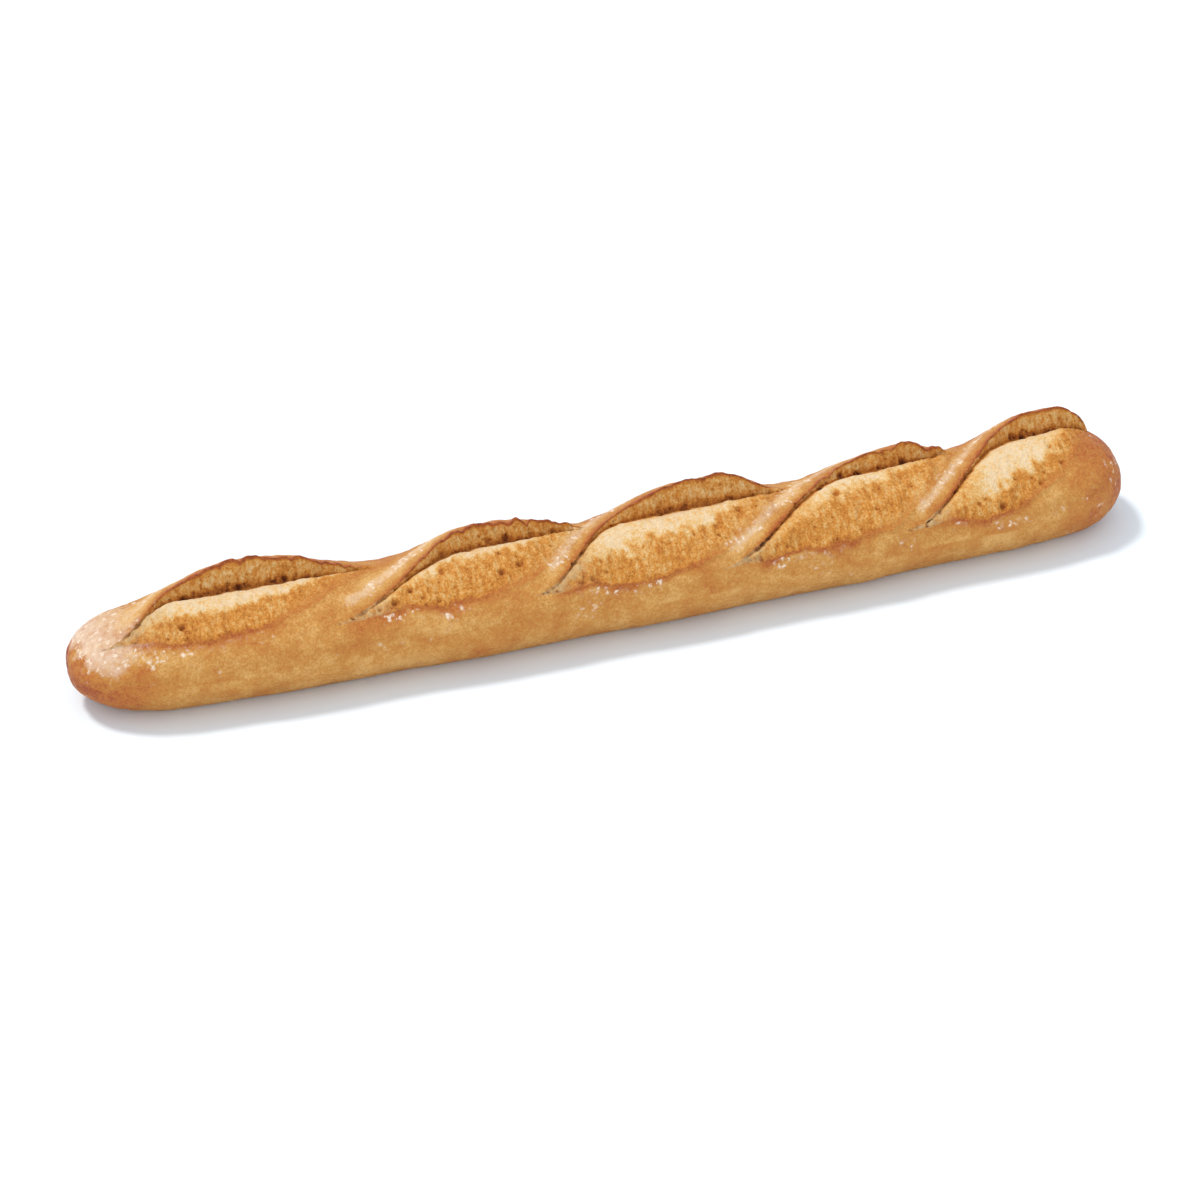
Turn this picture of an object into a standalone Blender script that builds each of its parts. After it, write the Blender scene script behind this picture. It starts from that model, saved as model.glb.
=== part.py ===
"""A whole baguette, lying on its flat base: one solid loaf with five opened scores.

The loaf lies along X, its left end at -X. The side with the open scores faces -Y and Z is up.
The origin is the middle of the base. Sizes are in metres and angles in degrees.
"""

import math
from collections import namedtuple

import bmesh
import bpy

# Driving dimensions of the loaf
LENGTH = 0.560
WIDTH = 0.067
CROWN_HEIGHT = 0.047  # top of the crust between two ears
WAIST_HEIGHT = 0.024  # where the loaf is widest
BASE_SINK = 0.005  # how far the full oval would reach below the flat base
BASE_ROUNDING = 0.0015  # half the height over which the side turns into the base
LEFT_TAPER = 0.058
RIGHT_TAPER = 0.036
END_BLUNTNESS = 0.82  # 1 is an elliptic end, less is blunter
END_RINGS = 0.11  # share of the mesh's rings that round off each end
LEFT_TIP_HEIGHT = 0.021
RIGHT_TIP_HEIGHT = 0.021
BOW = 0.008  # how far the middle of the loaf stands towards -Y
RIGHT_TURN = 0.003  # how far the right end turns towards +Y
TURN_LENGTH = 0.090
SIDE_SWELL = 0.0008
SIDE_SWELL_PITCH = 0.098

# A score runs from start to end, measured from the left tip. It leaves the front crust at the low angle
# and ends on the crown at the high one. Its far lip, the ear, reaches the crown at the share crest_top of
# its length, stands up by ear, and is at its fullest between the shares full_from and full_to. A blunt ear
# ends in a quarter round, the others fade out. The near edge of a score sags by sag degrees on its way.
# Angles run round the loaf: 0 is the front (-Y) side, 90 the top, 180 the back.
Score = namedtuple("Score", "start end low high crest_top sag ear full_from full_to blunt")
SCORES = (
    Score(0.014, 0.162, 59, 104, 0.28, 14, 0.0150, 0.49, 0.56, 0),
    Score(0.122, 0.272, 39, 106, 0.56, -2, 0.0113, 0.59, 0.68, 0),
    Score(0.227, 0.377, 32, 106, 0.39, 3, 0.0148, 0.62, 0.75, 0),
    Score(0.320, 0.473, 21, 110, 0.59, -3, 0.0111, 0.77, 0.77, 0),
    Score(0.424, 0.547, 22, 110, 0.63, 2, 0.0127, 0.74, 0.84, 1),
)
EAR_RISE = 0.38  # share of a score's length over which its ear rises
NEAR_EDGE_TURN = 0.35  # from this share on the near edge climbs to the crown
NEAR_EDGE_CURVE = 2.7
SAG_LENGTH = 0.75  # share of a score's length over which its near edge sags
WALL = 11  # degrees from the ear's crest down the torn wall to the valley
WALL_SHARE = 0.5  # of a narrow opening that the wall may take
EAR_BACK = 78  # degrees of the back crust that an ear lifts
EAR_BACK_CURVE = 1.5
VALLEY_DEPTH = 0.0018
VALLEY_FOLLOW = 0.12  # of the ear's height that the valley under it rises too
BULGE_SHARE = 0.25  # of the way from the wall to the near edge at which the crumb pushes out most
BULGE_HEIGHT = 0.0026
FULL_OPENING = 50  # degrees from which a score has its full relief

# The mesh: finer round the opened crown than round the plain side and the base
RINGS = 104
COLUMNS = 46
FINE_FROM = 12
FINE_TO = 128
FINE_SHARE = 0.62
SOFTEN_ABOVE = 0.026
SHARP_EDGE = 50  # degrees

CRUST = (0.60, 0.30, 0.09, 1.0)
CRUST_ROUGHNESS = 0.6


def mix(low, high, share):
    return low + (high - low) * share


def ease(share):
    """0 up to share 0, 1 from share 1, and smooth between."""
    share = min(max(share, 0.0), 1.0)
    return share * share * (3 - 2 * share)


def clear_scene():
    for old in list(bpy.data.objects):
        bpy.data.objects.remove(old)


def profile(share):
    """Place along the loaf and relative girth, for a share of the way from the left tip to the right one."""
    left = -LENGTH / 2 + LEFT_TAPER
    right = LENGTH / 2 - RIGHT_TAPER
    if share < END_RINGS:
        turn = math.radians(90 * share / END_RINGS)
        return left - LEFT_TAPER * math.cos(turn), math.sin(turn) ** END_BLUNTNESS
    if share > 1 - END_RINGS:
        turn = math.radians(90 * (1 - share) / END_RINGS)
        return right + RIGHT_TAPER * math.cos(turn), math.sin(turn) ** END_BLUNTNESS
    return mix(left, right, (share - END_RINGS) / (1 - 2 * END_RINGS)), 1.0


def column_angle(share):
    """The angle of a column of the mesh, for its share of the way round."""
    if share < FINE_SHARE:
        return mix(FINE_FROM, FINE_TO, share / FINE_SHARE)
    return mix(FINE_TO, FINE_FROM + 360, (share - FINE_SHARE) / (1 - FINE_SHARE))


def on_floor(height):
    """Flattens what lies below the base and rounds the edge where the side meets it."""
    if height <= -BASE_ROUNDING:
        return 0.0
    if height >= BASE_ROUNDING:
        return height
    return (height + BASE_ROUNDING) ** 2 / (4 * BASE_ROUNDING)


def score_lift(x, angle, score):
    """How far one score lifts a point off the plain crust, at a place along the loaf and an angle round it."""
    share = (x + LENGTH / 2 - score.start) / (score.end - score.start)
    if not 0 < share < 1:
        return 0.0
    crest = mix(score.low, score.high, ease(share / score.crest_top))
    climb = max(0.0, (share - NEAR_EDGE_TURN) / (1 - NEAR_EDGE_TURN))
    near = mix(score.low, score.high, climb**NEAR_EDGE_CURVE)
    near -= score.sag * math.sin(math.pi * min(1.0, share / SAG_LENGTH))
    if angle < near or angle > crest + EAR_BACK:
        return 0.0
    rise = ease((share - score.full_from) / EAR_RISE + 1)
    late = min(max((share - score.full_to) / (1 - score.full_to), 0.0), 1.0)
    fall = 1 - math.sqrt(1 - late * late) if score.blunt else ease(late)
    lift = score.ear * rise * (1 - fall)
    if angle >= crest:
        return lift * (1 - (angle - crest) / EAR_BACK) ** EAR_BACK_CURVE
    opening = crest - near
    relief = ease(opening / FULL_OPENING)
    valley = VALLEY_FOLLOW * lift - VALLEY_DEPTH * relief
    wall = min(WALL, WALL_SHARE * opening)
    if angle > crest - wall:
        return mix(lift, valley, ease((crest - angle) / wall))
    across = (crest - wall - angle) / (opening - wall)
    bulge = 1 - ease((across - BULGE_SHARE) / (1 - BULGE_SHARE))
    return mix(valley, BULGE_HEIGHT * relief * bulge, ease(across / BULGE_SHARE))


def loaf_point(x, girth, angle):
    """The loaf's surface at a place along it, at an angle round it."""
    lift = sum(score_lift(x, angle, score) for score in SCORES)
    around = math.radians(angle)
    half_width = WIDTH / 2 + SIDE_SWELL * math.sin(2 * math.pi * x / SIDE_SWELL_PITCH)
    above = CROWN_HEIGHT - WAIST_HEIGHT
    below = WAIST_HEIGHT + BASE_SINK
    tall = above if math.sin(around) > 0 else below
    out_y, out_z = -math.cos(around) * above, math.sin(around) * half_width
    out = math.hypot(out_y, out_z)
    y = -math.cos(around) * half_width + lift * out_y / out
    z = math.sin(around) * tall + lift * out_z / out
    tip_height = LEFT_TIP_HEIGHT if x < 0 else RIGHT_TIP_HEIGHT
    bow = -BOW * (1 - (2 * x / LENGTH) ** 2)
    turn = RIGHT_TURN * max(0.0, 1 - (LENGTH / 2 - x) / TURN_LENGTH) ** 2
    height = mix(tip_height, WAIST_HEIGHT, girth) + z * girth
    return x, y * girth + bow + turn, on_floor(height)


def make_loaf(collection):
    """Shapes a UV sphere, its poles at the loaf's tips, into the loaf."""
    bpy.ops.mesh.primitive_uv_sphere_add(segments=COLUMNS, ring_count=RINGS, radius=1)
    loaf = bpy.context.object
    loaf.name = "loaf"
    for vertex in loaf.data.vertices:
        across, up, pole = vertex.co
        x, girth = profile(1 - math.acos(max(-1.0, min(1.0, pole))) / math.pi)
        turn_share = (math.atan2(up, across) / (2 * math.pi)) % 1
        vertex.co = loaf_point(x, girth, column_angle(turn_share))
    soften(loaf.data)
    stand_on_origin(loaf.data)
    for old in loaf.users_collection:
        old.objects.unlink(loaf)
    collection.objects.link(loaf)
    loaf.data.shade_smooth()
    loaf.data.set_sharp_from_angle(angle=math.radians(SHARP_EDGE))
    return loaf


def soften(mesh):
    """Turns the faces outwards, cuts them along the ears and takes the sawtooth off their crests."""
    shape = bmesh.new()
    shape.from_mesh(mesh)
    bmesh.ops.reverse_faces(shape, faces=shape.faces)
    bmesh.ops.triangulate(shape, faces=shape.faces, quad_method="ALTERNATE")
    crown = [vertex for vertex in shape.verts if vertex.co.z > SOFTEN_ABOVE]
    bmesh.ops.smooth_vert(shape, verts=crown, factor=0.5, use_axis_x=True, use_axis_y=True, use_axis_z=True)
    shape.to_mesh(mesh)
    shape.free()


def stand_on_origin(mesh):
    """Moves the mesh so that the middle of its box's underside is the origin."""
    for axis, share in enumerate((0.5, 0.5, 0.0)):
        places = [vertex.co[axis] for vertex in mesh.vertices]
        middle = mix(min(places), max(places), share)
        for vertex in mesh.vertices:
            vertex.co[axis] -= middle


def crust_material():
    material = bpy.data.materials.new("baked_crust")
    material.use_nodes = True
    surface = material.node_tree.nodes["Principled BSDF"]
    surface.inputs["Base Color"].default_value = CRUST
    surface.inputs["Roughness"].default_value = CRUST_ROUGHNESS
    surface.inputs["Metallic"].default_value = 0.0
    return material


def main():
    clear_scene()
    collection = bpy.data.collections.new("baguette")
    bpy.context.scene.collection.children.link(collection)
    loaf = make_loaf(collection)
    loaf.data.materials.append(crust_material())


main()
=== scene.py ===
# %% [markdown]
# # A whole baguette
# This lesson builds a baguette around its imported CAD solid. The solid gives the size and the place of the
# loaf, and stays behind for collision. What is seen is one new mesh: the same loaf, with its torn scores,
# its thin browned ears and its dusting of flour. The frame has one node, the loaf, and no joints.

# %% Load the frame
import math
from collections import namedtuple

import bmesh
import bpy
from mathutils import Matrix, Vector, noise


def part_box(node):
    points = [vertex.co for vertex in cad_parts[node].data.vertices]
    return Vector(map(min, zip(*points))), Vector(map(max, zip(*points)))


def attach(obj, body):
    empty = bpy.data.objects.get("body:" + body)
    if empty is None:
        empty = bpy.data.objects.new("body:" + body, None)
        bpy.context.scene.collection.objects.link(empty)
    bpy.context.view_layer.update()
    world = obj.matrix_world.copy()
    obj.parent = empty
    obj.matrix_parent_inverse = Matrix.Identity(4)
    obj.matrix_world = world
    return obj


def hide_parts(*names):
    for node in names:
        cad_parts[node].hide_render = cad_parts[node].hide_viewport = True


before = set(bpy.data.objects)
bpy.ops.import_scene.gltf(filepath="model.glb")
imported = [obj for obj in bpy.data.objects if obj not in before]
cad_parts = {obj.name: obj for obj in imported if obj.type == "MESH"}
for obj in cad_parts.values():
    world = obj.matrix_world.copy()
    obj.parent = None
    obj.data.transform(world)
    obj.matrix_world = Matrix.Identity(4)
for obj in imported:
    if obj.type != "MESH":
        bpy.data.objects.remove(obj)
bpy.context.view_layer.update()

box_low, box_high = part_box("loaf")
LENGTH = box_high[0] - box_low[0]
print(f"the loaf is {LENGTH * 1000:.0f} mm long")

# %% [markdown]
# ## The plain loaf
# A baguette is rolled into a long roll, so every cut through it is nearly the same soft oval, flat where it
# lay in the oven. One way to make that is a curve with a bevel. A UV sphere with its poles on the loaf's two
# tips is better here, because each of its vertices has a place along the loaf and an angle round it, and
# everything that a baker does to a baguette is easy to say in those two numbers.

# %% Dimensions of the plain loaf
WIDTH = 0.067
CROWN_HEIGHT = 0.047  # top of the crust between two ears
WAIST_HEIGHT = 0.024  # where the loaf is widest
BASE_SINK = 0.005  # how far the full oval would reach below the flat base
BASE_ROUNDING = 0.0015  # half the height over which the side turns into the base
LEFT_TAPER = 0.058
RIGHT_TAPER = 0.036
END_BLUNTNESS = 0.82  # 1 is an elliptic end, less is blunter
END_RINGS = 0.11  # share of the rings that round off each end
TIP_HEIGHT = 0.021
BOW = 0.008  # how far the middle of the loaf stands towards -Y
RIGHT_TURN = 0.003  # how far the right end turns towards +Y
TURN_LENGTH = 0.090
SIDE_SWELL = 0.0008
SIDE_SWELL_PITCH = 0.098


# %% Small helpers
def mix(low, high, share):
    return low + (high - low) * share


def ease(share):
    """0 up to share 0, 1 from share 1, and smooth between."""
    share = min(max(share, 0.0), 1.0)
    return share * share * (3 - 2 * share)


def wobble(place, pitch, seed):
    """Smooth noise from about -1 to 1 whose bumps lie about one pitch apart."""
    return noise.noise(place / pitch + Vector((seed * 7.31, seed * 3.77, seed * 5.13)))


def bubble(place, pitch, share, seed):
    """How deep a point lies in one of some round bubbles scattered about one pitch apart, from 0 to 1."""
    distances, centres = noise.voronoi(place / pitch + Vector((seed * 3.1, 0, 0)))
    lot = noise.cell(centres[0] * 97.0) * 0.5 + 0.5
    return (1 - ease(distances[0] / 0.45)) * ease((share - lot) / 0.05)


# %% [markdown]
# ### From two shares to a place
# `profile` turns the share of the way from tip to tip into a place along the loaf and a girth, which is 1
# along the body and closes at both ends. `column_angle` spreads the columns of the mesh round the loaf:
# 0 degrees is the front, 90 the top and 180 the back. Three quarters of the columns go to the front and the
# scored crown, where the crumb needs them, and the rest are enough for the smooth back and the base.

# %% Along the loaf and round it
FINE_FROM = -4
FINE_TO = 130
FINE_SHARE = 0.74


def profile(share):
    """Place along the loaf and relative girth, for a share of the way from the left tip to the right one."""
    left = -LENGTH / 2 + LEFT_TAPER
    right = LENGTH / 2 - RIGHT_TAPER
    if share < END_RINGS:
        turn = math.radians(90 * share / END_RINGS)
        return left - LEFT_TAPER * math.cos(turn), math.sin(turn) ** END_BLUNTNESS
    if share > 1 - END_RINGS:
        turn = math.radians(90 * (1 - share) / END_RINGS)
        return right + RIGHT_TAPER * math.cos(turn), math.sin(turn) ** END_BLUNTNESS
    return mix(left, right, (share - END_RINGS) / (1 - 2 * END_RINGS)), 1.0


def column_angle(share):
    """The angle of a column of the mesh, for its share of the way round."""
    if share < FINE_SHARE:
        return mix(FINE_FROM, FINE_TO, share / FINE_SHARE)
    return mix(FINE_TO, FINE_FROM + 360, (share - FINE_SHARE) / (1 - FINE_SHARE))


def on_floor(height):
    """Flattens what lies below the base and rounds the edge where the side meets it."""
    if height <= -BASE_ROUNDING:
        return 0.0
    if height >= BASE_ROUNDING:
        return height
    return (height + BASE_ROUNDING) ** 2 / (4 * BASE_ROUNDING)


def crust_point(x, girth, angle, lift):
    """A point of the loaf: at x, at an angle round it, and lifted off the plain crust."""
    around = math.radians(angle)
    half_width = WIDTH / 2 + SIDE_SWELL * math.sin(2 * math.pi * x / SIDE_SWELL_PITCH)
    above = CROWN_HEIGHT - WAIST_HEIGHT
    below = WAIST_HEIGHT + BASE_SINK
    tall = above if math.sin(around) > 0 else below
    out = Vector((0, -math.cos(around) * above, math.sin(around) * half_width)).normalized()
    y = -math.cos(around) * half_width + lift * out.y
    z = math.sin(around) * tall + lift * out.z
    bow = -BOW * (1 - (2 * x / LENGTH) ** 2)
    turn = RIGHT_TURN * max(0.0, 1 - (LENGTH / 2 - x) / TURN_LENGTH) ** 2
    height = mix(TIP_HEIGHT, WAIST_HEIGHT, girth) + z * girth
    return Vector((x, y * girth + bow + turn, on_floor(height)))


# %% [markdown]
# ## The scores
# Before baking, the baker cuts the dough with a blade held nearly flat. In the oven each cut opens: its far
# lip lifts into a thin, dark ear, and the dough under it tears and pushes out. The part that opens first
# bakes longest, so the crumb runs from brown at the near edge to pale cream close under the ear. Each score
# starts low on the front as a pinched crease and climbs to the crown, where the next one is already opening
# below it.
#
# `Score` holds what differs from one to the next: where it starts and ends, measured from the left tip, the
# angles it climbs between, the ear's height and where along the score it is fullest, how ragged the ear is,
# and how wide the pale shelf is and where it starts. The two lines of a score are its crest, along the ear,
# and its near edge, where the front crust ends.

# %% The five scores
SCORE_FIELDS = "start end low high crest_top sag ear full_from full_to blunt ragged shelf pale_from seed"
Score = namedtuple("Score", SCORE_FIELDS)
SCORES = (
    Score(0.014, 0.162, 59, 104, 0.28, 14, 0.0160, 0.49, 0.56, 0, 0.90, 0.48, 0.18, 1),
    Score(0.122, 0.272, 39, 106, 0.56, -2, 0.0118, 0.59, 0.68, 0, 1.20, 0.34, 0.36, 2),
    Score(0.227, 0.377, 32, 106, 0.39, 3, 0.0155, 0.62, 0.75, 0, 0.40, 0.50, 0.25, 3),
    Score(0.320, 0.473, 21, 110, 0.59, -3, 0.0114, 0.77, 0.77, 0, 0.90, 0.36, 0.42, 4),
    Score(0.424, 0.547, 22, 110, 0.63, 2, 0.0130, 0.74, 0.84, 1, 0.30, 0.62, 0.40, 5),
)
EAR_RISE = 0.38  # share of a score's length over which its ear rises
NEAR_EDGE_TURN = 0.35  # from this share on the near edge climbs to the crown
NEAR_EDGE_CURVE = 2.7
SAG_LENGTH = 0.75  # share of a score's length over which its near edge sags
CREST_FRAY = 1.4  # degrees that a tattered crest frays
EDGE_WANDER = 6.0  # degrees that a near edge wanders on its way
EDGE_FRAY = 3.0
SCALLOP_PITCH = 0.013  # of the scallops that a ragged ear is torn into
SCALLOP_HEIGHT = 0.0062
NICK_HEIGHT = 0.0014


def score_lines(x, share, score):
    """The angles of the crest and of the near edge of a score."""
    along = Vector((x, 0, 0))
    climb = max(0.0, (share - NEAR_EDGE_TURN) / (1 - NEAR_EDGE_TURN)) ** NEAR_EDGE_CURVE
    crest = mix(score.low, score.high, ease(share / score.crest_top))
    near = mix(score.low, score.high, climb) - score.sag * math.sin(math.pi * min(1, share / SAG_LENGTH))
    crest += CREST_FRAY * score.ragged * wobble(along, 0.005, score.seed) * ease((share - 0.25) / 0.4)
    near += EDGE_WANDER * wobble(along, 0.017, score.seed + 10) * ease(share / 0.25)
    near += EDGE_FRAY * wobble(along, 0.006, score.seed + 20) * ease(share / 0.3)
    return crest, min(near, crest)


def ear_heights(x, share, score):
    """How far the ear stands up, and how much its torn rim adds: the ear is torn where the blade ran out."""
    along = Vector((x, 0, 0))
    rise = ease((share - score.full_from) / EAR_RISE + 1)
    late = min(1, max(0, (share - score.full_to) / (1 - score.full_to)))
    fall = 1 - math.sqrt(1 - late * late) if score.blunt else ease(late)
    ear = score.ear * rise * (1 - fall)
    scallop = math.sqrt(abs(wobble(along, SCALLOP_PITCH, score.seed + 30))) - 0.45
    nick = wobble(along, 0.0030, score.seed + 40)
    rim = (SCALLOP_HEIGHT * scallop + NICK_HEIGHT * nick) * score.ragged * ease((share - 0.25) / 0.4)
    return ear, max(rim * min(1, ear / 0.0025), -0.5 * ear)


# %% [markdown]
# ### Across a score
# `Spot` gathers all that is known about one point of the surface: how far it is turned round the loaf and
# lifted, and the values that its colour will need. `open_score` walks across a score from the back: the
# lifted crust behind the ear, the torn wall under it, the valley, the pale shelf, the brown outer crumb and
# the near edge. The wall has many columns of the mesh squeezed into a few degrees, which makes it steep.

# %% Open one score
EAR_BACK = 78  # degrees of the back crust that an ear lifts
EAR_BACK_CURVE = 1.5
WALL_COLUMNS = 14  # degrees of columns that make the wall
WALL_LEAN = 3  # degrees that the wall really takes up
WALL_SHARE = 0.38  # of a narrow opening that the wall may take
VALLEY_DEPTH = 0.0015
VALLEY_FOLLOW = 0.12  # of the ear's height that the valley under it rises too
FULL_OPENING = 50  # degrees from which a score has its full width
GROOVE_SHARE = 0.15  # of the way from the wall to the near edge that is groove
BULGE_SHARE = 0.22  # of that way at which the crumb pushes out most
BULGE_HEIGHT = 0.0028
RIM_TEAR = 8.0  # degrees of the ear that its torn rim takes up
EDGE_HEIGHT = 0.0006  # how far the near edge's rim of crust stands up
EDGE_WIDTH = 3.0  # degrees
SCORCH_WIDTH = 7.0  # degrees of crumb that is scorched along the near edge
LIP_WIDTH = 5.0  # degrees of the ear's dark lip
LIP_CURL = 1.8  # degrees that the lip leans out over the wall
LIP_SHARE = 0.17  # of the wall's height that is dark lip
CREASE_OPENING = 10  # degrees up to which a score is only a pinched crease
CREASE_FADE = 18
SOFT_FROM = 0.45  # share of a score from which its near edge is no longer scorched


class Spot:
    """One point of the loaf's surface."""

    def __init__(self, brown_and_painted_shade, flour):
        self.turn = 0.0  # degrees round the loaf
        self.lift = 0.0  # metres off the plain crust
        self.crumb = 0.0  # 1 on torn crumb, 0 on crust
        self.rough = 0.0  # how rough the torn crumb is
        self.crease = 0.0  # 1 in the pinched start of a score
        # The pits are dug into the crumb, and the crumb in them is painted darker as painted shade.
        self.pit = 0.0  # how likely dark pits are
        # The darkness below holds the bake's browning and also painted shade: at the foot of each score's
        # wall, in the groove under the ear and in the crumb's pits.
        self.brown_and_painted_shade = brown_and_painted_shade  # 0 is pale, 1 is dark
        self.flour = flour  # how much flour dust there is


def open_score(spot, x, angle, score):
    """Adds what one score does to a spot."""
    share = (x + LENGTH / 2 - score.start) / (score.end - score.start)
    if not 0 < share < 1:
        return
    crest, near = score_lines(x, share, score)
    opening = crest - near
    gape = ease(opening / (CREASE_OPENING + CREASE_FADE))
    hard = gape * (1 - ease((share - SOFT_FROM) / 0.25))
    if angle >= crest:
        behind_ear(spot, x, angle - crest, gape, share, score)
    elif angle <= near:
        before_edge(spot, x, near - angle, gape, hard, score)
    elif opening > 0:
        inside_score(spot, x, angle, crest, opening, gape, hard, share, score)


def lip_brown(share):
    return mix(0.58, 0.80, ease((share - 0.10) / 0.25))


def behind_ear(spot, x, behind, gape, share, score):
    if behind > EAR_BACK:
        return
    ear, rim = ear_heights(x, share, score)
    spot.turn -= LIP_CURL * (1 - ease(behind / (2 * LIP_WIDTH))) * gape
    spot.lift += ear * (1 - behind / EAR_BACK) ** EAR_BACK_CURVE + rim * (1 - ease(behind / RIM_TEAR))
    strip = (1 - ease(abs(behind - 17) / 18)) * ease(share / 0.12) * (1 - ease((share - 0.55) / 0.25))
    spot.brown_and_painted_shade = mix(spot.brown_and_painted_shade, 0.55, (1 - ease(behind / 9)) * gape) - 0.22 * strip
    spot.brown_and_painted_shade = mix(spot.brown_and_painted_shade, lip_brown(share), (1 - ease(behind / LIP_WIDTH)) * gape)
    spot.flour = max(spot.flour, 1.3 * strip)


def before_edge(spot, x, below, gape, hard, score):
    rim = 1 - ease(below / EDGE_WIDTH)
    spot.lift += EDGE_HEIGHT * rim * gape
    reach = 12 + 12 * wobble(Vector((x, 0, 0)), 0.011, score.seed + 60)
    scorch = 1 - ease(below / reach)
    spot.brown_and_painted_shade = mix(spot.brown_and_painted_shade, 0.72, max(0.8 * rim, 0.85 * scorch) * hard)
    spot.flour = max(spot.flour, 0.9 * ease(below / 3) * (1 - ease((below - 10) / 12)) * hard)


def inside_score(spot, x, angle, crest, opening, gape, hard, share, score):
    """The torn inside: the wall under the ear, then the shelf and the outer crumb."""
    ear, rim = ear_heights(x, share, score)
    wall = min(WALL_COLUMNS, WALL_SHARE * opening)
    squeeze = wall - min(WALL_LEAN, wall)
    valley = VALLEY_FOLLOW * ear - VALLEY_DEPTH * gape
    place = Vector((x, angle * 0.0005, 0))
    young = 1 - ease((share - 0.13) / 0.15)  # the start of the score, where it has hardly opened
    pinched = (1 - ease((opening - CREASE_OPENING) / CREASE_FADE)) * (1 - ease((share - 0.3) / 0.2))
    if angle > crest - wall:
        down = (crest - angle) / wall
        spot.turn += down * squeeze - LIP_CURL * (1 - ease(down / 0.35)) * gape
        spot.lift += mix(ear, valley, down**1.15) + rim * (1 - ease(down / 0.6))
        spot.crumb = ease((down - 0.5 * LIP_SHARE) / 0.08)
        spot.rough = mix(0.45, 1.0, ease(down / 0.4))
        spot.pit = mix(0.10, 0.55, ease((down - 0.45) / 0.3)) + 0.25 * young
        spot.crease = max(pinched, 0.5 * young * ease((down - 0.4) / 0.3))
        # The wall's own tone, made darker in its lowest third as painted shade at its foot under the ear.
        wall_tone_and_foot_shade = mix(0.44, 0.36, ease(down / 0.4)) + 0.36 * ease((down - 0.68) / 0.32)
        spot.brown_and_painted_shade = mix(lip_brown(share), wall_tone_and_foot_shade, ease((down - 0.5 * LIP_SHARE) / LIP_SHARE))
        return
    across = (crest - wall - angle) / (opening - wall)
    shelf_end = score.shelf * (1 - 0.6 * ease((share - 0.60) / 0.35))
    shelf_end += 0.12 * wobble(place, 0.012, score.seed + 50) + 0.14 * wobble(place, 0.0035, score.seed + 55)
    outer = ease((across - shelf_end) / 0.22 + 0.5)
    bulge = ease(across / BULGE_SHARE) * (1 - ease((across - BULGE_SHARE) / (1 - BULGE_SHARE)))
    to_edge = (1 - across) * (opening - wall)
    edge = 1 - ease(to_edge / EDGE_WIDTH)
    spot.turn += (1 - across) * squeeze
    spot.lift += valley * (1 - ease(across / GROOVE_SHARE)) + EDGE_HEIGHT * edge * gape
    spot.lift += BULGE_HEIGHT * bulge * ease(opening / FULL_OPENING)
    spot.crumb = ease(to_edge / mix(1.5, 14, ease((share - 0.5) / 0.2)))
    spot.rough = max(mix(0.35, 0.85, outer), 0.8 * young)
    foot = 1 - ease(across / GROOVE_SHARE)
    spot.pit = max(0.14 * outer, mix(0.60, 0.90, young) * foot, 0.40 * young)
    spot.crease = max(pinched, young * (1 - 0.8 * outer))
    before_pale = 1 - ease((share - score.pale_from + 0.08) / 0.14)
    pale = 0.05 + 0.26 * before_pale + 0.25 * ease((share - 0.70) / 0.18)
    # Next to the wall's foot the crumb is painted darker, as painted shade in the groove under the ear.
    tone_and_groove_shade = mix(pale + 0.60 * (1 - ease(across / 0.11)), 0.44, outer)
    spot.brown_and_painted_shade = mix(tone_and_groove_shade, 0.62, (1 - ease(to_edge / SCORCH_WIDTH)) * hard)


# %% [markdown]
# ## The crust
# Away from the scores the crust has its own story. The sides are golden, the ends and the crown are darker
# because they stand nearer to the heat, and flour from the cloth that the dough rose in stays on the front
# as flecks and on top of the left end as a thin dust. `up` tells how much the crust faces the ceiling, and it
# fades to nothing at the tips, where all angles meet, so the dust ends softly there.

# %% How brown and how floury the plain crust is
END_BROWN_LENGTH = 0.055
SPOT_PITCH = 0.017  # between the darker spots on the sides


def plain_crust(x, girth, angle):
    """The browning and the flour of crust that no score has touched."""
    place = Vector((x, angle * 0.0005, 0))
    from_end = min(LENGTH / 2 + x, LENGTH / 2 - x)
    at_end = 1 - ease(from_end / END_BROWN_LENGTH)
    round_angle = angle if angle < 200 else angle - 360
    crown = ease((round_angle - 100) / 30) * (1 - 0.5 * ease((round_angle - 150) / 40))
    under = 1 - ease((round_angle + 64) / 16)
    dusty = (1 - ease(from_end / 0.080)) * (1 if x < 0 else 0.2)
    up = girth * math.sin(math.radians(round_angle))
    dusty_top = ease((up + 0.02) / 0.60 + 0.5 * wobble(place, 0.012, 64)) * dusty
    brown_and_painted_shade = 0.26 + 0.16 * crown + 0.42 * at_end + 0.06 * under - 0.32 * dusty_top
    brown_and_painted_shade += 0.20 * wobble(place, 0.026, 61) + 0.14 * wobble(place, 0.009, 62)
    brown_and_painted_shade += 0.22 * bubble(place, SPOT_PITCH, 0.30, 2)
    band = math.exp(-(((round_angle - 6) / 12) ** 2)) * (0.50 + 0.9 * wobble(place, 0.030, 63))
    flour = max(0.05, band, 1.7 * dusty_top, 0.30 * crown, (0.50 if x < 0 else 0.85) * at_end)
    return brown_and_painted_shade, flour


def spot_at(x, girth, angle):
    spot = Spot(*plain_crust(x, girth, angle))
    for score in SCORES:
        open_score(spot, x, angle, score)
    return spot


# %% [markdown]
# ## From sphere to loaf
# `bmesh.ops.create_uvsphere` makes the rings and columns. While they still lie on a sphere, each face gets
# its place in a UV map: the loaf is unrolled and folded once, its left half below and its right half above,
# so that the long strip fills a square.

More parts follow.
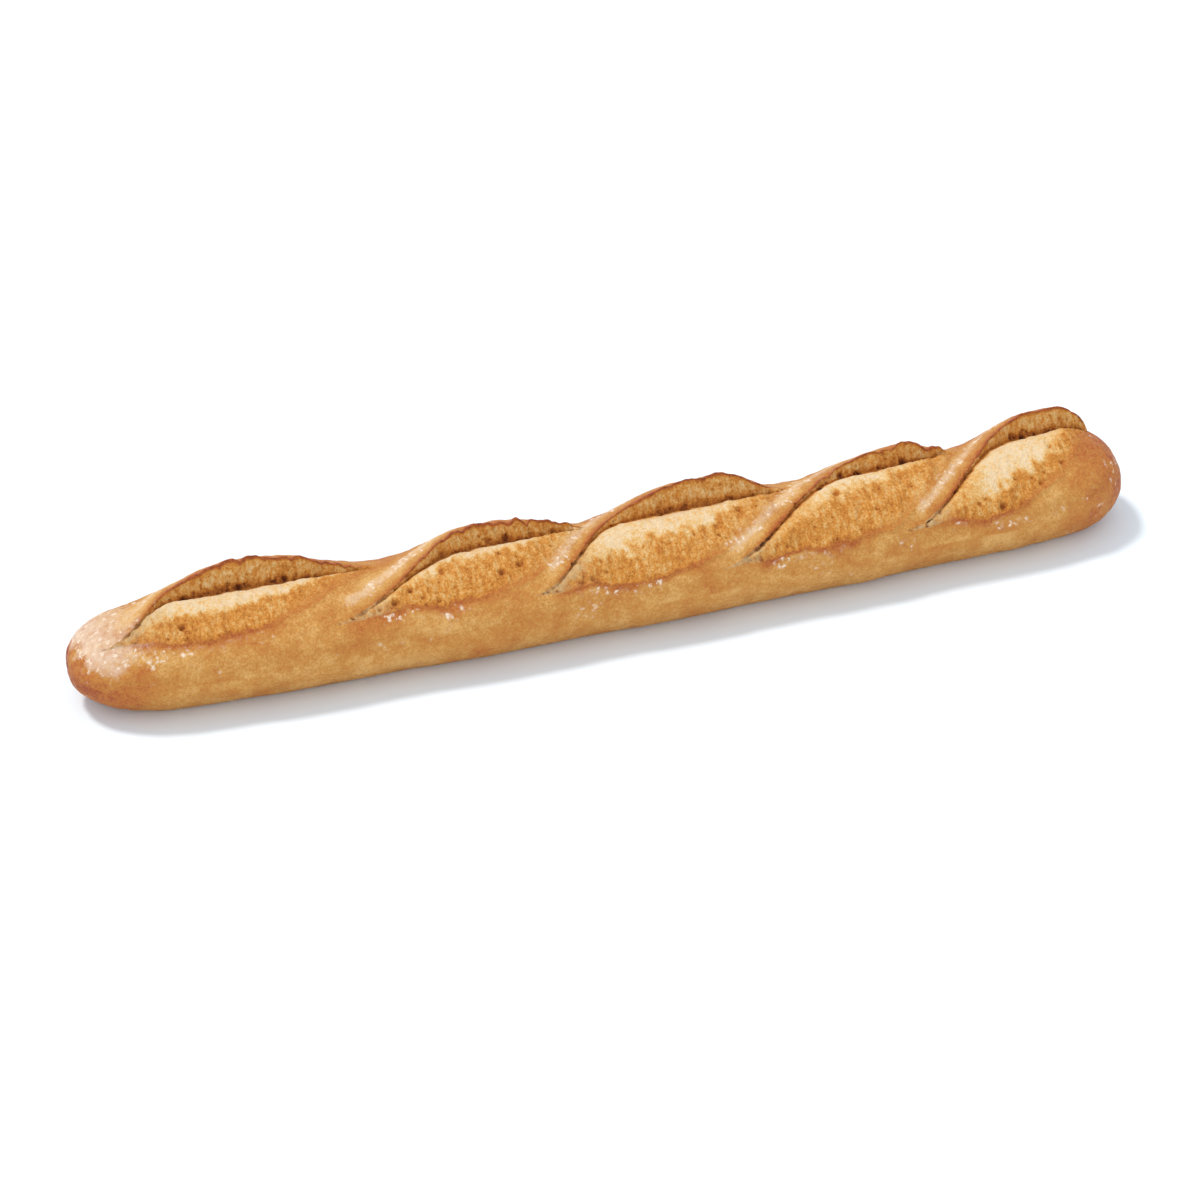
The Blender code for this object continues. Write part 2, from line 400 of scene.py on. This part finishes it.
# %% The sphere and its map
RINGS = 640
COLUMNS = 154
MAP_MARGIN = 0.01
POLE = 0.0001  # share of the way along up to which a vertex is a pole


def shares(vertex):
    """Where a vertex of the unit sphere lies along the loaf and round it, both from 0 to 1."""
    across, up, pole = vertex.co
    along = 1 - math.atan2(math.hypot(across, up), pole) / math.pi
    return along, (math.atan2(up, across) / (2 * math.pi)) % 1


def unroll(shape):
    uv = shape.loops.layers.uv.new("OFBake")
    for face in shape.faces:
        places = [shares(loop.vert) for loop in face.loops]
        middle = sum(along for along, _ in places) / len(places)
        rounds = [turn for along, turn in places if POLE < along < 1 - POLE]
        seam = max(rounds) - min(rounds) > 0.5
        rounds = [turn + 1 if seam and turn < 0.5 else turn for turn in rounds]
        upper = middle > 0.5
        for loop, (along, turn) in zip(face.loops, places):
            turn = turn + 1 if seam and turn < 0.5 else turn
            if not POLE < along < 1 - POLE:
                turn = sum(rounds) / len(rounds)
            u = 2 * along - upper
            v = (turn + upper) / 2
            inset = mix(MAP_MARGIN / 2, -MAP_MARGIN / 2, (v * 2) % 1)
            loop[uv].uv = (mix(MAP_MARGIN, 1 - MAP_MARGIN, u), v + inset)


shape = bmesh.new()
bmesh.ops.create_uvsphere(shape, u_segments=COLUMNS, v_segments=RINGS, radius=1)
unroll(shape)
print(f"{len(shape.verts)} vertices, {len(shape.faces)} faces")

# %% [markdown]
# Every vertex now moves from the sphere to the loaf. The values for its colour are kept on it, in layers that
# become attributes of the mesh, where the material can read them.

# %% Move the vertices
LAYERS = ("crumb", "rough", "crease", "pit", "brown_and_painted_shade", "flour")
layers = {name: shape.verts.layers.float.new(name) for name in LAYERS}
for vertex in shape.verts:
    along, turn = shares(vertex)
    x, girth = profile(along)
    angle = column_angle(turn)
    spot = spot_at(x, girth, angle)
    vertex.co = crust_point(x, girth, angle + spot.turn, spot.lift)
    for name in LAYERS:
        vertex[layers[name]] = getattr(spot, name)
bmesh.ops.reverse_faces(shape, faces=shape.faces)
shape.normal_update()

# %% [markdown]
# ## Tear the crumb
# Torn crumb is lumpy at several sizes and full of small bubbles. All of that is moved along the normals,
# so that the steep wall gets as rough as the rest. The crumb inside the bubbles is also painted darker, as
# painted shade. Crust is much smoother: it only has soft dents and a few blisters. Detail finer than a
# millimetre is left to the material.

# %% Roughen the surface
LUMPS = ((0.0075, 0.0013), (0.0036, 0.0011), (0.0019, 0.0007))  # pitch and height
DENTS = ((0.0180, 0.0007), (0.0060, 0.00030), (0.0026, 0.00018))
BUBBLES = ((0.0062, 0.0028), (0.0032, 0.0015))  # pitch and depth
CRUMB_STRETCH = 0.5  # the lumps of the crumb are drawn out across the loaf, because it tore that way


def relief(place, bumps, seed):
    return sum(height * wobble(place, pitch, seed + n) for n, (pitch, height) in enumerate(bumps))


def roughen(shape):
    moves = []
    for vertex in shape.verts:
        place = vertex.co
        drawn = Vector((place.x, place.y * CRUMB_STRETCH, place.z * CRUMB_STRETCH))
        crumb, rough, pit = (vertex[layers[name]] for name in ("crumb", "rough", "pit"))
        holes = [bubble(place, pitch, pit, n) for n, (pitch, _) in enumerate(BUBBLES)]
        depth = sum(hole * size for hole, (_, size) in zip(holes, BUBBLES))
        torn = relief(drawn, LUMPS, 71) * rough - depth
        smooth = relief(place, DENTS, 81)
        moves.append(vertex.normal * mix(smooth, torn, crumb) * ease(place.z / 0.004))
        # The crumb in the bubble holes is painted darker: painted shade inside them.
        vertex[layers["brown_and_painted_shade"]] += 0.40 * max(holes) * crumb
    for vertex, move in zip(shape.verts, moves):
        vertex.co += move
        vertex.co.z = max(0.0, vertex.co.z)


roughen(shape)

# %% [markdown]
# The finished shape is set down in the CAD loaf's box. It then becomes a mesh object that stands for the
# CAD node.

# %% Make the loaf object
xs, ys, zs = ([vertex.co[axis] for vertex in shape.verts] for axis in range(3))
middle_x = (box_low[0] + box_high[0] - min(xs) - max(xs)) / 2
middle_y = (box_low[1] + box_high[1] - min(ys) - max(ys)) / 2
bmesh.ops.translate(shape, verts=shape.verts, vec=(middle_x, middle_y, box_low[2] - min(zs)))
mesh = bpy.data.meshes.new("whole_loaf")
shape.to_mesh(mesh)
shape.free()
mesh.shade_smooth()
loaf = bpy.data.objects.new("whole_loaf", mesh)
bpy.context.scene.collection.objects.link(loaf)
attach(loaf, "root")
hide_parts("loaf")
print(f"the loaf has {sum(len(face.vertices) - 2 for face in mesh.polygons)} triangles")

# %% [markdown]
# ## The bread's material
# One material covers crust and crumb, because on bread they are one substance baked for longer or shorter.
# It reads how brown each point is, with the painted shade at the foot of the scores and in the crumb's pits,
# adds fine mottling, and looks the colour up on two ramps, one for crust and one for crumb. Flour comes last,
# on top.

# %% Node helpers
def linear(red, green, blue):
    """A colour from the usual 0 to 255 scale, as the linear values that a shader takes."""
    values = [part / 255 for part in (red, green, blue)]
    return tuple(v / 12.92 if v <= 0.04045 else ((v + 0.055) / 1.055) ** 2.4 for v in values) + (1.0,)


def add_node(tree, kind, settings=None, **inputs):
    """Adds a node, sets its properties, and sets or links its inputs by name."""
    node = tree.nodes.new(kind)
    for name, value in (settings or {}).items():
        setattr(node, name, value)
    for name, value in inputs.items():
        socket = node.inputs[int(name[1:])] if name[0] == "i" and name[1:].isdigit() else node.inputs[name]
        if isinstance(value, bpy.types.NodeSocket):
            tree.links.new(value, socket)
        else:
            socket.default_value = value
    return node


def math_node(tree, operation, first, second, clamp=False):
    settings = {"operation": operation, "use_clamp": clamp}
    return add_node(tree, "ShaderNodeMath", settings, i0=first, i1=second).outputs[0]


def mix_colour(tree, share, first, second):
    node = add_node(tree, "ShaderNodeMix", {"data_type": "RGBA"}, i0=share, i6=first, i7=second)
    return node.outputs[2]


def add(tree, first, second, clamp=False):
    return math_node(tree, "ADD", first, second, clamp)


def subtract(tree, first, second):
    return math_node(tree, "SUBTRACT", first, second)


def multiply(tree, first, second, clamp=False):
    return math_node(tree, "MULTIPLY", first, second, clamp)


def ramp(tree, value, stops):
    node = add_node(tree, "ShaderNodeValToRGB", Fac=value)
    elements = node.color_ramp.elements
    while len(elements) < len(stops):
        elements.new(0.5)
    for element, (position, colour) in zip(elements, stops):
        element.position = position
        element.color = colour
    return node.outputs["Color"]


# %% [markdown]
# ### Mottling
# Fine unevenness is needed again and again, in several sizes. The group gives noise that is 0 on average,
# so adding it to a value leaves the value's mean alone.

# %% The mottling group
def make_mottling():
    group = bpy.data.node_groups.new("Mottling", "ShaderNodeTree")
    group.interface.new_socket("Vector", in_out="INPUT", socket_type="NodeSocketVector")
    for name in ("Scale", "Detail", "Strength"):
        group.interface.new_socket(name, in_out="INPUT", socket_type="NodeSocketFloat")
    group.interface.new_socket("Value", in_out="OUTPUT", socket_type="NodeSocketFloat")
    inside = group.nodes.new("NodeGroupInput")
    outside = group.nodes.new("NodeGroupOutput")
    given = {name: inside.outputs[name] for name in ("Vector", "Scale", "Detail")}
    pattern = add_node(group, "ShaderNodeTexNoise", Roughness=0.6, **given)
    centred = subtract(group, pattern.outputs["Fac"], 0.5)
    scaled = multiply(group, centred, inside.outputs["Strength"])
    group.links.new(scaled, outside.inputs["Value"])
    return group


mottling_group = make_mottling()


def mottling(tree, vector, scale, detail, strength):
    node = add_node(tree, "ShaderNodeGroup", {"node_tree": mottling_group})
    tree.links.new(vector, node.inputs["Vector"])
    node.inputs["Scale"].default_value = scale
    node.inputs["Detail"].default_value = detail
    node.inputs["Strength"].default_value = strength
    return node.outputs["Value"]


# %% [markdown]
# ### Crust, crumb and flour
# The two ramps hold the colours from pale to dark. The material is made in four steps, each a function of its
# own: the colour of the bread, the flour on it, how rough it is, and the fine relief. `known` holds what each
# vertex says about itself, and `drawn` is the place squeezed along the tear, which draws the crumb's strands
# out.

# %% The bread's colour
CRUST_STOPS = (
    (0.00, linear(219, 168, 99)),
    (0.25, linear(200, 139, 66)),
    (0.50, linear(189, 116, 50)),
    (0.75, linear(171, 86, 39)),
    (1.00, linear(122, 56, 28)),
)
CRUMB_STOPS = (
    (0.00, linear(233, 206, 167)),
    (0.20, linear(229, 184, 117)),
    (0.45, linear(212, 142, 60)),
    (0.70, linear(182, 108, 44)),
    (1.00, linear(112, 56, 26)),
)
CREASE_COLOUR = linear(198, 164, 118)
MOTTLES = ((110, 2, 0.35), (330, 3, 0.50), (900, 3, 0.80))  # scale, detail and strength


def bread_colour(tree, where, drawn, known, pores):
    """Mottling from centimetres down to grains. Torn crumb is streaked besides, and its open pores are
    painted darker as painted shade.
    """
    porous = multiply(tree, mottling(tree, where, 220, 2, 1.0), 8.0, clamp=True)
    # The open pores are painted darker: painted shade inside them, added to the crumb's real streaked
    # mottling.
    painted_pore_shade = multiply(tree, subtract(tree, 0.34, pores), 1.3, clamp=True)
    streaks_and_pore_shade = add(tree, mottling(tree, drawn, 420, 3, 0.9), multiply(tree, painted_pore_shade, porous))
    torn_brown_and_pore_shade = multiply(tree, multiply(tree, streaks_and_pore_shade, known["crumb"]), known["rough"])
    brown_and_painted_shade = add(tree, known["brown_and_painted_shade"], torn_brown_and_pore_shade)
    for scale, detail, strength in MOTTLES:
        brown_and_painted_shade = add(tree, brown_and_painted_shade, mottling(tree, where, scale, detail, strength))
    colour = mix_colour(tree, known["crumb"], ramp(tree, brown_and_painted_shade, CRUST_STOPS), ramp(tree, brown_and_painted_shade, CRUMB_STOPS))
    crease = add(tree, 0.6, mottling(tree, where, 380, 3, 2.5), clamp=True)
    return mix_colour(tree, multiply(tree, known["crease"], crease), colour, CREASE_COLOUR)


# %% The flour
FLOUR_COLOUR = linear(244, 224, 203)


def flour_cover(tree, where, known):
    """A thin dust where there is much flour, and patches of small flecks elsewhere. Crumb has none."""
    dust = add(tree, known["flour"], mottling(tree, where, 300, 4, 1.2))
    dust = multiply(tree, subtract(tree, dust, 0.92), 0.80, clamp=True)
    patch = add(tree, mottling(tree, where, 95, 3, 1.0), multiply(tree, known["flour"], 0.25))
    patch = multiply(tree, subtract(tree, patch, 0.20), 8.0, clamp=True)
    lumps = add_node(tree, "ShaderNodeTexVoronoi", Vector=where, Scale=300.0).outputs["Distance"]
    flecks = subtract(tree, add(tree, mottling(tree, where, 450, 4, 2.6), 0.40), lumps)
    flecks = multiply(tree, multiply(tree, flecks, 4.0, clamp=True), patch)
    flour = math_node(tree, "MAXIMUM", dust, multiply(tree, flecks, 0.85))
    return multiply(tree, flour, subtract(tree, 1.0, known["crumb"]))


# %% Roughness and fine relief
def bread_roughness(tree, where, known, flour):
    """Crust has a faint gloss, crumb and flour have none."""
    rough = add(tree, 0.62, multiply(tree, known["crumb"], 0.26))
    rough = add(tree, rough, multiply(tree, flour, 0.35))
    return add(tree, rough, mottling(tree, where, 500, 2, 0.2), clamp=True)


def bread_relief(tree, where, drawn, known, pores):
    """Grains on the crust, torn strands and open pores in the crumb."""
    grain = mottling(tree, where, 600, 4, 1.9)
    torn = add(tree, mottling(tree, drawn, 450, 5, 3.0), multiply(tree, pores, 0.8))
    torn = multiply(tree, multiply(tree, torn, known["rough"]), known["crumb"])
    bump = add_node(tree, "ShaderNodeBump", Strength=0.9, Distance=0.0010, Height=add(tree, grain, torn))
    return bump.outputs["Normal"]


# %% The whole material
def make_bread():
    material = bpy.data.materials.new("baked_crust")
    material.use_nodes = True
    tree = material.node_tree
    surface = tree.nodes["Principled BSDF"]
    where = add_node(tree, "ShaderNodeTexCoord").outputs["Object"]
    drawn = add_node(tree, "ShaderNodeMapping", Vector=where, Scale=(1.0, 0.33, 0.33)).outputs["Vector"]
    pores = add_node(tree, "ShaderNodeTexVoronoi", Vector=where, Scale=520.0).outputs["Distance"]
    known = {}
    for name in LAYERS:
        known[name] = add_node(tree, "ShaderNodeAttribute", {"attribute_name": name}).outputs["Fac"]
    flour = flour_cover(tree, where, known)
    colour = mix_colour(tree, flour, bread_colour(tree, where, drawn, known, pores), FLOUR_COLOUR)
    tree.links.new(colour, surface.inputs["Base Color"])
    tree.links.new(bread_roughness(tree, where, known, flour), surface.inputs["Roughness"])
    tree.links.new(bread_relief(tree, where, drawn, known, pores), surface.inputs["Normal"])
    surface.inputs["Specular IOR Level"].default_value = 0.25
    print(f"the bread material has {len(tree.nodes)} nodes")
    return material


mesh.materials.append(make_bread())

# %% [markdown]
# ## The floor
# The loaf lies on a plain white floor, so that nothing draws the eye from the bread. One large square from
# `create_grid` is enough.

# %% The floor
FLOOR_SIDE = 6.0


def make_floor():
    plane = bmesh.new()
    bmesh.ops.create_grid(plane, x_segments=1, y_segments=1, size=FLOOR_SIDE / 2)
    floor_mesh = bpy.data.meshes.new("floor")
    plane.to_mesh(floor_mesh)
    plane.free()
    material = bpy.data.materials.new("white_floor")
    material.use_nodes = True
    surface = material.node_tree.nodes["Principled BSDF"]
    surface.inputs["Base Color"].default_value = (0.83, 0.90, 0.95, 1)
    surface.inputs["Roughness"].default_value = 0.9
    surface.inputs["Specular IOR Level"].default_value = 0.1
    floor_mesh.materials.append(material)
    floor = bpy.data.objects.new("floor", floor_mesh)
    bpy.context.scene.collection.objects.link(floor)


make_floor()

# %% [markdown]
# ## The camera
# A long lens from two metres away keeps the loaf's two ends nearly the same size. The camera stands a little
# to the left and looks down at a third of a right angle, which shows the scores and the front crust at once.

# %% The camera
AZIMUTH = math.radians(-19.5)
ELEVATION = math.radians(33.0)
CAMERA_DISTANCE = 2.261
LENS = 135
AIM_HEIGHT = 0.026
AIM_RIGHT = -0.0065
AIM_UP = -0.0191

level = Vector((math.sin(AZIMUTH), -math.cos(AZIMUTH), 0))
view_back = level * math.cos(ELEVATION) + Vector((0, 0, math.sin(ELEVATION)))
view_right = Vector((0, 0, 1)).cross(view_back).normalized()
view_up = view_back.cross(view_right)


def make_camera():
    data = bpy.data.cameras.new("camera")
    data.lens = LENS
    camera = bpy.data.objects.new("camera", data)
    turn = Matrix((view_right, view_up, view_back)).transposed().to_4x4()
    aim = Vector((0, 0, AIM_HEIGHT)) + AIM_RIGHT * view_right + AIM_UP * view_up
    camera.matrix_world = Matrix.Translation(aim + CAMERA_DISTANCE * view_back) @ turn
    bpy.context.scene.collection.objects.link(camera)
    bpy.context.scene.camera = camera


make_camera()

# %% [markdown]
# ## The light
# A soft lamp high behind the loaf's left shoulder grazes the torn crumb and throws a short shadow towards the
# viewer. A bright room and a broad, weaker lamp near the camera fill the front. Sun lamps are used, because
# their light is even along the whole loaf.

# %% The lights
KEY_ELEVATION = math.radians(62)
KEY_SIDE = math.radians(62)  # how far to the left of straight behind the loaf the key lamp stands


def sun(name, towards, colour, strength, spread):
    data = bpy.data.lights.new(name, "SUN")
    data.color = colour
    data.energy = strength
    data.angle = math.radians(spread)
    lamp = bpy.data.objects.new(name, data)
    lamp.rotation_euler = towards.to_track_quat("Z", "Y").to_euler()
    bpy.context.scene.collection.objects.link(lamp)


forward = -Vector((view_back.x, view_back.y, 0)).normalized()
key_side = forward * math.cos(KEY_SIDE) - view_right * math.sin(KEY_SIDE)
key_from = key_side * math.cos(KEY_ELEVATION) + Vector((0, 0, math.sin(KEY_ELEVATION)))
fill_from = (view_back + 0.15 * view_right - Vector((0, 0, 0.25))).normalized()
sun("key", key_from, (1.0, 0.98, 0.94), 1.7, 11)
sun("fill", fill_from, (1.0, 1.0, 1.0), 0.7, 50)

world = bpy.data.worlds.new("white_room")
bpy.context.scene.world = world
world.use_nodes = True
world.node_tree.nodes["Background"].inputs["Color"].default_value = (0.95, 0.99, 1.04, 1)
world.node_tree.nodes["Background"].inputs["Strength"].default_value = 0.84
bpy.context.scene.view_settings.view_transform = "Standard"
